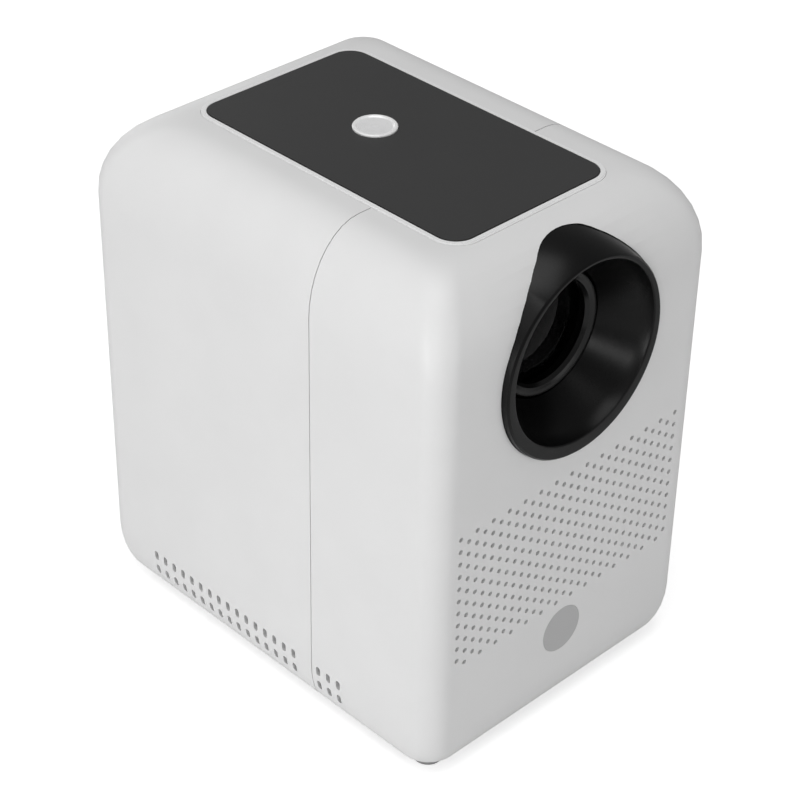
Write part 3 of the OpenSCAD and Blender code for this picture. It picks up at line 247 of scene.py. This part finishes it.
def woven(name, colour, pitch):
    """Acoustic cloth: over and under threads across the front."""
    fuzz_size = 0.15 * MM
    fuzz_share = 0.2
    weave_share = 0.8
    weave_depth = 0.12 * MM
    s = Shader(name)
    split = s.node("SeparateXYZ", Vector=s.place()).outputs
    across = s.math("SINE", s.math("MULTIPLY", split["X"], math.pi / pitch))
    upward = s.math("SINE", s.math("MULTIPLY", split["Z"], math.pi / pitch))
    weave = s.math("ABSOLUTE", s.math("MULTIPLY", across, upward))
    fuzz = s.noise(s.place(), fuzz_size, detail=4.0)
    height = s.math("ADD", s.math("MULTIPLY", weave, weave_share), s.math("MULTIPLY", fuzz, fuzz_share))
    s.set(Base_Color=s.mix(weave, rgba(colour, 0.72), rgba(colour, 1.08)), Roughness=0.9, Sheen_Weight=0.3,
          Normal=s.bump(height, weave_depth))
    return s.material


def rubber(name, colour):
    """Moulded rubber with a dull bloom and a fine stipple."""
    bloom_size = 5 * MM
    stipple_size = 0.25 * MM
    stipple_depth = 0.03 * MM
    s = Shader(name)
    point = s.place()
    bloom = s.noise(point, bloom_size, detail=4.0)
    stipple = s.noise(point, stipple_size)
    s.set(Base_Color=s.tone(bloom, colour, 0.9, 1.15, low=0.4), Roughness=s.gloss(bloom, 0.6, 0.8),
          Normal=s.bump(stipple, stipple_depth))
    return s.material


# ---------------------------------------------------------------- materials of this product

# The button's rings turn round the middle of its top face.
BUTTON_LOW, BUTTON_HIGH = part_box("power_button")
BUTTON_TOP = ((BUTTON_LOW.x + BUTTON_HIGH.x) / 2, (BUTTON_LOW.y + BUTTON_HIGH.y) / 2, BUTTON_HIGH.z)
BUTTON_RIM = 7.2 * MM
THREAD_PITCH = 0.5 * MM

# Refractive indices.
COATED = 1.16
CLEAR = 1.49

WHITE = moulded("shell_white", (0.80, 0.80, 0.80), 0.42, grain=0.30 * MM, relief=0.008 * MM, mottle=0.012)
PANEL = moulded("panel_grey", (0.036, 0.036, 0.0363), 0.44, grain=0.22 * MM, relief=0.010 * MM,
                Specular_IOR_Level=0.35)
TRIM = moulded("trim_pale", (0.88, 0.88, 0.88), 0.28, grain=0.5 * MM, relief=0.002 * MM)
HOOD = moulded("hood_black", (0.002, 0.002, 0.0021), 0.30, grain=0.25 * MM, relief=0.002 * MM, wear=0.05,
               Specular_IOR_Level=0.22)
BORE = moulded("bore_black", (0.002, 0.002, 0.0021), 0.32, grain=0.3 * MM, relief=0.001 * MM, wear=0.05,
               Specular_IOR_Level=0.22)
RING = moulded("ring_black", (0.004, 0.004, 0.0041), 0.20, grain=0.4 * MM, relief=0.001 * MM, wear=0.03,
               Specular_IOR_Level=0.32)
BLACK = moulded("black_plastic", (0.022, 0.022, 0.023), 0.48)
TRAY = moulded("tray_black", (0.030, 0.030, 0.032), 0.40, grain=0.5 * MM, relief=0.02 * MM)
NATURAL = moulded("white_plastic", (0.72, 0.72, 0.69), 0.45)
WINDOW = moulded("ir_grey", (0.49, 0.49, 0.492), 0.32, grain=0.2 * MM, relief=0.0006 * MM, mottle=0.01,
                 wear=0.02)
POTTED = moulded("part_tan", (0.42, 0.34, 0.18), 0.55, grain=0.8 * MM, relief=0.05 * MM)
PAPER = moulded("paper_cone", (0.035, 0.035, 0.037), 0.85, grain=0.4 * MM, relief=0.06 * MM)
STEEL = metal("steel", (0.56, 0.56, 0.58), 0.34, brush=(1, 0.05, 1))
TURNED = metal("turned_steel", (0.62, 0.62, 0.64), 0.26)
ALUMINIUM = metal("aluminium", (0.80, 0.80, 0.82), 0.38, brush=(1, 1, 0.06))
BRASS = metal("brass", (0.80, 0.60, 0.26), 0.30)
BUTTON = brushed_disc("button_silver", (0.87, 0.87, 0.875), BUTTON_TOP, 0.30, BUTTON_RIM)
# The lens glass's dark grey tint is painted shade: it darkens the lens like the shade deep inside the hood.
DARKENED_LENS_GLASS = glass("lens_glass", (0.14, 0.142, 0.15), COATED)
PANE = glass("pane_glass", (0.92, 0.95, 0.97), CLEAR)
BOARD = board("board_green", (0.02, 0.11, 0.055))
CLOTH = woven("cloth_grey", (0.30, 0.30, 0.305), THREAD_PITCH)
RUBBER = rubber("rubber_grey", (0.34, 0.34, 0.34))

LOOKS = {
    WHITE: ["front_shell", "rear_shell", "base_cover"],
    PANEL: ["top_panel"],
    TRIM: ["panel_frame"],
    BUTTON: ["power_button"],
    HOOD: ["lens_hood"],
    BORE: ["lens_sleeve", "focus_ring"],
    RING: ["lens_cell"],
    BLACK: ["support_frame", "button_switch", "engine_housing", "engine_cover", "fan_frame", "fan_rotor",
            "audio_jack", "power_inlet", "turntable", "pickup_sled"],
    TRAY: ["disc_tray", "tray_bezel"],
    PAPER: ["cone_left", "cone_right"],
    NATURAL: ["focus_pinion", "rail_left", "rail_right", "eject_button"],
    WINDOW: ["ir_window"],
    POTTED: ["power_parts"],
    STEEL: ["drive_chassis", "drive_cover", "traverse_frame", "speaker_left", "speaker_right", "hdmi_port",
            "usb_port", "lcd_panel"],
    TURNED: ["base_screws", "spindle_motor", "guide_rods", "lead_screw", "sled_motor", "focus_motor"],
    ALUMINIUM: ["heat_sink", "led_module"],
    BRASS: ["tripod_insert"],
    DARKENED_LENS_GLASS: ["lens_front", "lens_rear", "pickup_lens"],
    PANE: ["fresnel_front", "fresnel_rear", "condenser_lens"],
    BOARD: ["button_board", "ir_board", "main_board", "power_board"],
    CLOTH: ["grille_cloth"],
    RUBBER: ["feet"],
}

# ---------------------------------------------------------------- smooth shading

SHARP_ANGLE = math.radians(28)
WELD_GAP = 0.002 * MM


def smooth_group():
    """Geometry nodes that join coincident points and shade smooth, but keep the sharp edges."""
    group = bpy.data.node_groups.new("smooth_faces", "GeometryNodeTree")
    group.interface.new_socket("Geometry", in_out="INPUT", socket_type="NodeSocketGeometry")
    group.interface.new_socket("Geometry", in_out="OUTPUT", socket_type="NodeSocketGeometry")
    nodes = group.nodes
    link = group.links.new
    start = nodes.new("NodeGroupInput")
    end = nodes.new("NodeGroupOutput")
    plain = nodes.new("GeometryNodeRemoveAttribute")
    plain.inputs["Name"].default_value = "custom_normal"
    weld = nodes.new("GeometryNodeMergeByDistance")
    weld.inputs["Distance"].default_value = WELD_GAP
    faces = nodes.new("GeometryNodeSetShadeSmooth")
    faces.domain = "FACE"
    edges = nodes.new("GeometryNodeSetShadeSmooth")
    edges.domain = "EDGE"
    edges.inputs["Shade Smooth"].default_value = False
    bend = nodes.new("GeometryNodeInputMeshEdgeAngle")
    sharp = nodes.new("FunctionNodeCompare")
    sharp.operation = "GREATER_THAN"
    sharp.inputs[1].default_value = SHARP_ANGLE
    link(start.outputs[0], plain.inputs["Geometry"])
    link(plain.outputs[0], weld.inputs["Geometry"])
    link(weld.outputs[0], faces.inputs["Geometry"])
    link(faces.outputs[0], edges.inputs["Geometry"])
    link(bend.outputs["Unsigned Angle"], sharp.inputs[0])
    link(sharp.outputs[0], edges.inputs["Selection"])
    link(edges.outputs[0], end.inputs[0])
    return group


SMOOTH = smooth_group()

for material, names in LOOKS.items():
    for name in names:
        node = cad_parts[name]
        node.data.materials.clear()
        node.data.materials.append(material)
        node.modifiers.new("smooth", "NODES").node_group = SMOOTH

# ---------------------------------------------------------------- floor and backdrop

FLOOR_SIDE = 6.0
FLOOR_COLOUR = rgba((0.86, 0.86, 0.86))

# The white that the camera sees on the floor grows from its near level to its far one between two radii.
NEAR_RADIUS = 0.4
FAR_RADIUS = 1.1
NEAR_WHITE = 0.55
FAR_WHITE = 1.0

ROOM_LIGHT = 0.28
BACKDROP_WHITE = 1.0


def ground(name, side):
    """A flat square under the object, at the height of its feet."""
    mesh = bpy.data.meshes.new(name)
    half = side / 2
    corners = [(-half, -half, 0.0), (half, -half, 0.0), (half, half, 0.0), (-half, half, 0.0)]
    mesh.from_pydata(corners, [], [(0, 1, 2, 3)])
    made = bpy.data.objects.new(name, mesh)
    bpy.context.collection.objects.link(made)
    return made


def seen_white(s, plain, level):
    """Adds white light of that level to what the camera sees of a surface."""
    seen = s.node("LightPath").outputs["Is Camera Ray"]
    glow = s.node("Emission", Color=(1, 1, 1, 1), Strength=s.math("MULTIPLY", seen, level))
    total = s.node("AddShader")
    s.tree.links.new(plain, total.inputs[0])
    s.tree.links.new(glow.outputs[0], total.inputs[1])
    s.tree.links.new(total.outputs[0], s.out.inputs["Surface"])


def floor_material():
    """A pale matt floor that keeps the object's soft shadow, and is seen pure white far from it."""
    s = Shader("floor_white")
    away = s.distance(s.place())
    s.set(Base_Color=FLOOR_COLOUR, Roughness=0.9, Specular_IOR_Level=0.1)
    seen_white(s, s.bsdf.outputs["BSDF"], s.spread(away, NEAR_RADIUS, FAR_RADIUS, NEAR_WHITE, FAR_WHITE))
    return s.material


def white_world():
    """Even studio light from all round, and a white backdrop for the camera."""
    world = bpy.data.worlds.new("studio")
    bpy.context.scene.world = world
    world.use_nodes = True
    tree = world.node_tree
    back = tree.nodes["Background"]
    back.inputs["Color"].default_value = (1, 1, 1, 1)
    rays = tree.nodes.new("ShaderNodeLightPath")
    level = tree.nodes.new("ShaderNodeMapRange")
    level.inputs["To Min"].default_value = ROOM_LIGHT
    level.inputs["To Max"].default_value = BACKDROP_WHITE
    tree.links.new(rays.outputs["Is Camera Ray"], level.inputs["Value"])
    tree.links.new(level.outputs["Result"], back.inputs["Strength"])


FLOOR = ground("floor", FLOOR_SIDE)
FLOOR.data.materials.append(floor_material())
white_world()

# ---------------------------------------------------------------- lamps

# Each lamp has its place, the side of its square in metres and its power in watts.
LAMPS = {
    "side_left": ((-1.30, -0.25, 0.75), 1.1, 0.8),
    "low_left": ((-1.45, -0.10, 0.22), 0.4, 5.2),
    "edge_left": ((-1.15, -0.80, 0.62), 0.30, 1.8),
    "fill_front": ((0.35, -1.50, 0.42), 1.0, 3.5),
    "top_left": ((-0.75, 0.20, 1.45), 1.2, 3.0),
    "top": ((-0.15, -0.10, 1.65), 1.0, 7.5),
    "back": ((0.50, 1.50, 0.30), 0.9, 3.0),
}


def softbox(name, place, side, power):
    """A square lamp that shines at the middle of the object."""
    data = bpy.data.lights.new(name, "AREA")
    data.shape = "SQUARE"
    data.size = side
    data.energy = power
    lamp = bpy.data.objects.new(name, data)
    bpy.context.collection.objects.link(lamp)
    aim = MIDDLE - Vector(place)
    lamp.matrix_world = Matrix.Translation(place) @ aim.to_track_quat("-Z", "Y").to_matrix().to_4x4()


for lamp_name, (lamp_place, lamp_side, lamp_power) in LAMPS.items():
    softbox(lamp_name, lamp_place, lamp_side, lamp_power)

# ---------------------------------------------------------------- camera

# The camera stands up and to the left of the lens side, with a long lens.
CAMERA_PLACE = (-551.63 * MM, -560.50 * MM, 645.5 * MM)
CAMERA_RIGHT = Vector((0.71799, -0.695871, 0.015953))
CAMERA_UP = Vector((0.385687, 0.416816, 0.82311))
CAMERA_LENS = 103.56
SENSOR = 36.0
NEAREST_SEEN = 10 * MM


def photo_camera():
    """The camera that took the photo, from its place and the directions of its right and upper sides."""
    data = bpy.data.cameras.new("camera")
    data.sensor_fit = "HORIZONTAL"
    data.sensor_width = SENSOR
    data.lens = CAMERA_LENS
    data.clip_start = NEAREST_SEEN
    camera = bpy.data.objects.new("camera", data)
    bpy.context.collection.objects.link(camera)
    right = CAMERA_RIGHT.normalized()
    back = right.cross(CAMERA_UP).normalized()
    turn = Matrix((right, back.cross(right), back)).transposed()
    camera.matrix_world = Matrix.Translation(CAMERA_PLACE) @ turn.to_4x4()
    bpy.context.scene.camera = camera


photo_camera()
bpy.context.scene.view_settings.view_transform = "Standard"
